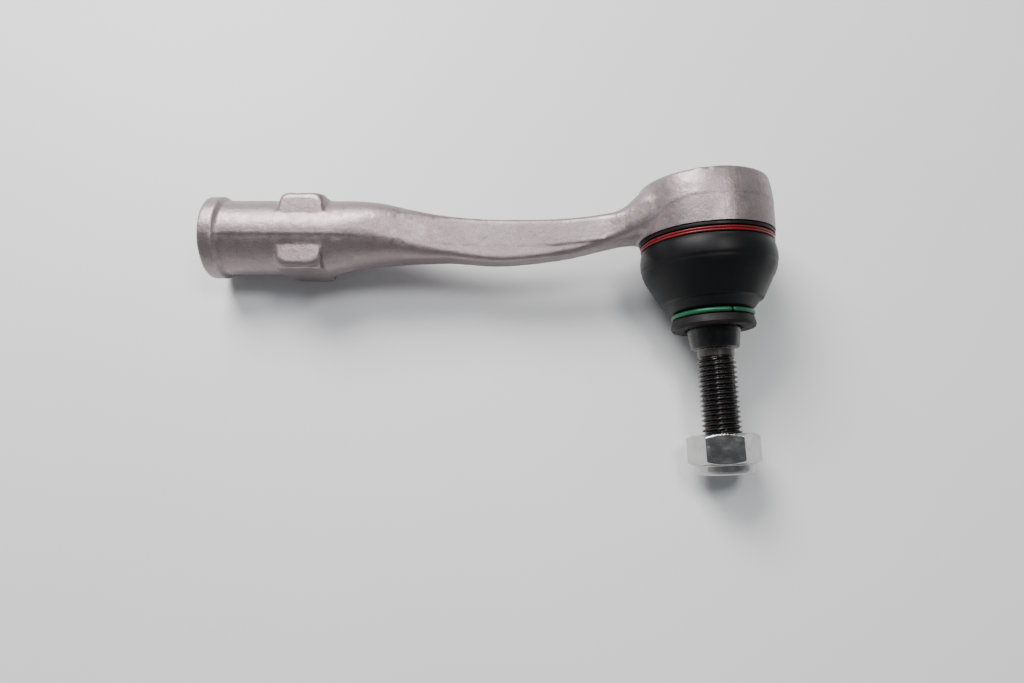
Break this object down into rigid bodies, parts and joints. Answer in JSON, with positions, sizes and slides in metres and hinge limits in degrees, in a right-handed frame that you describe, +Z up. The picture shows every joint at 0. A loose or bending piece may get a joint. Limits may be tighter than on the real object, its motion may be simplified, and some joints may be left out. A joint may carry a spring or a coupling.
{
  "type": "tie rod end",
  "caption": "Steering tie rod end: forged threaded tube and curved arm with a ball joint housing, rubber dust boot, threaded ball stud and lock nut.",
  "frame": {"origin": "under the middle of the part at floor level, as it lies at rest on the tube's collar, the boot's belly and the nut", "axes": "+X along the rod from the threaded tube to the ball joint, +Y from the nut towards the closing plate, +Z up from the floor"},
  "size_m": [0.18, 0.0978, 0.045],
  "materials": {
    "forged_steel": "shot blasted grey forging, satin",
    "bearing_plastic": "natural acetal",
    "spring_steel": "hardened spring steel",
    "plated_cover": "pressed steel, dull",
    "black_oxide": "black oxide, oiled, glossy",
    "boot_rubber": "moulded black rubber",
    "red_wire": "red coated spring wire",
    "green_wire": "green coated spring wire",
    "dark_ring": "dark satin",
    "zinc": "bright zinc plate",
    "nylon": "nylon"
  },
  "bodies": {
    "housing": {"housing": "forged_steel", "lower_race": "bearing_plastic", "upper_race": "bearing_plastic", "preload_spring": "spring_steel", "cover_plate": "plated_cover", "upper_clamp_ring": "red_wire"},
    "boot_middle": {"dust_boot": "boot_rubber"},
    "boot_foot": {"lower_clamp_ring": "green_wire", "boot_lip_ring": "dark_ring"},
    "stud": {"ball_stud": "black_oxide"},
    "nut_carriage": {"nut_insert": "nylon"},
    "nut": {"lock_nut": "zinc"}
  },
  "joints": [
    {"name": "stud_swing_lengthwise", "type": "hinge", "parent": "housing", "child": "boot_middle", "pos_m": [0.06878, 0.02771, 0.02279], "axis": [0.0692, 0.1709, -0.9828], "range_deg": [-20, 20], "deforming": ["dust_boot"]},
    {"name": "stud_swing_sideways", "type": "hinge", "parent": "boot_middle", "child": "boot_foot", "pos_m": [0.06878, 0.02771, 0.02279], "axis": [0.9976, -0.0119, 0.0682], "range_deg": [-20, 20], "deforming": ["dust_boot"]},
    {"name": "stud_spin", "type": "hinge", "parent": "boot_foot", "child": "stud", "pos_m": [0.06878, 0.02771, 0.02279], "axis": [0, 0.9852, 0.1713], "continuous": true},
    {"name": "nut_travel", "type": "slide", "parent": "stud", "child": "nut_carriage", "axis": [0, -0.9852, -0.1713], "range_m": [-0.0226, 0.0126]},
    {"name": "nut_turn", "type": "hinge", "parent": "nut_carriage", "child": "nut", "pos_m": [0.06878, -0.03929, 0.01114], "axis": [0, -0.9852, -0.1713], "range_deg": [-5400, 3000]}
  ],
  "couplings": [
    {"joint": "nut_travel", "follows": "nut_turn", "m_per_rad": 0.00023873}
  ]
}
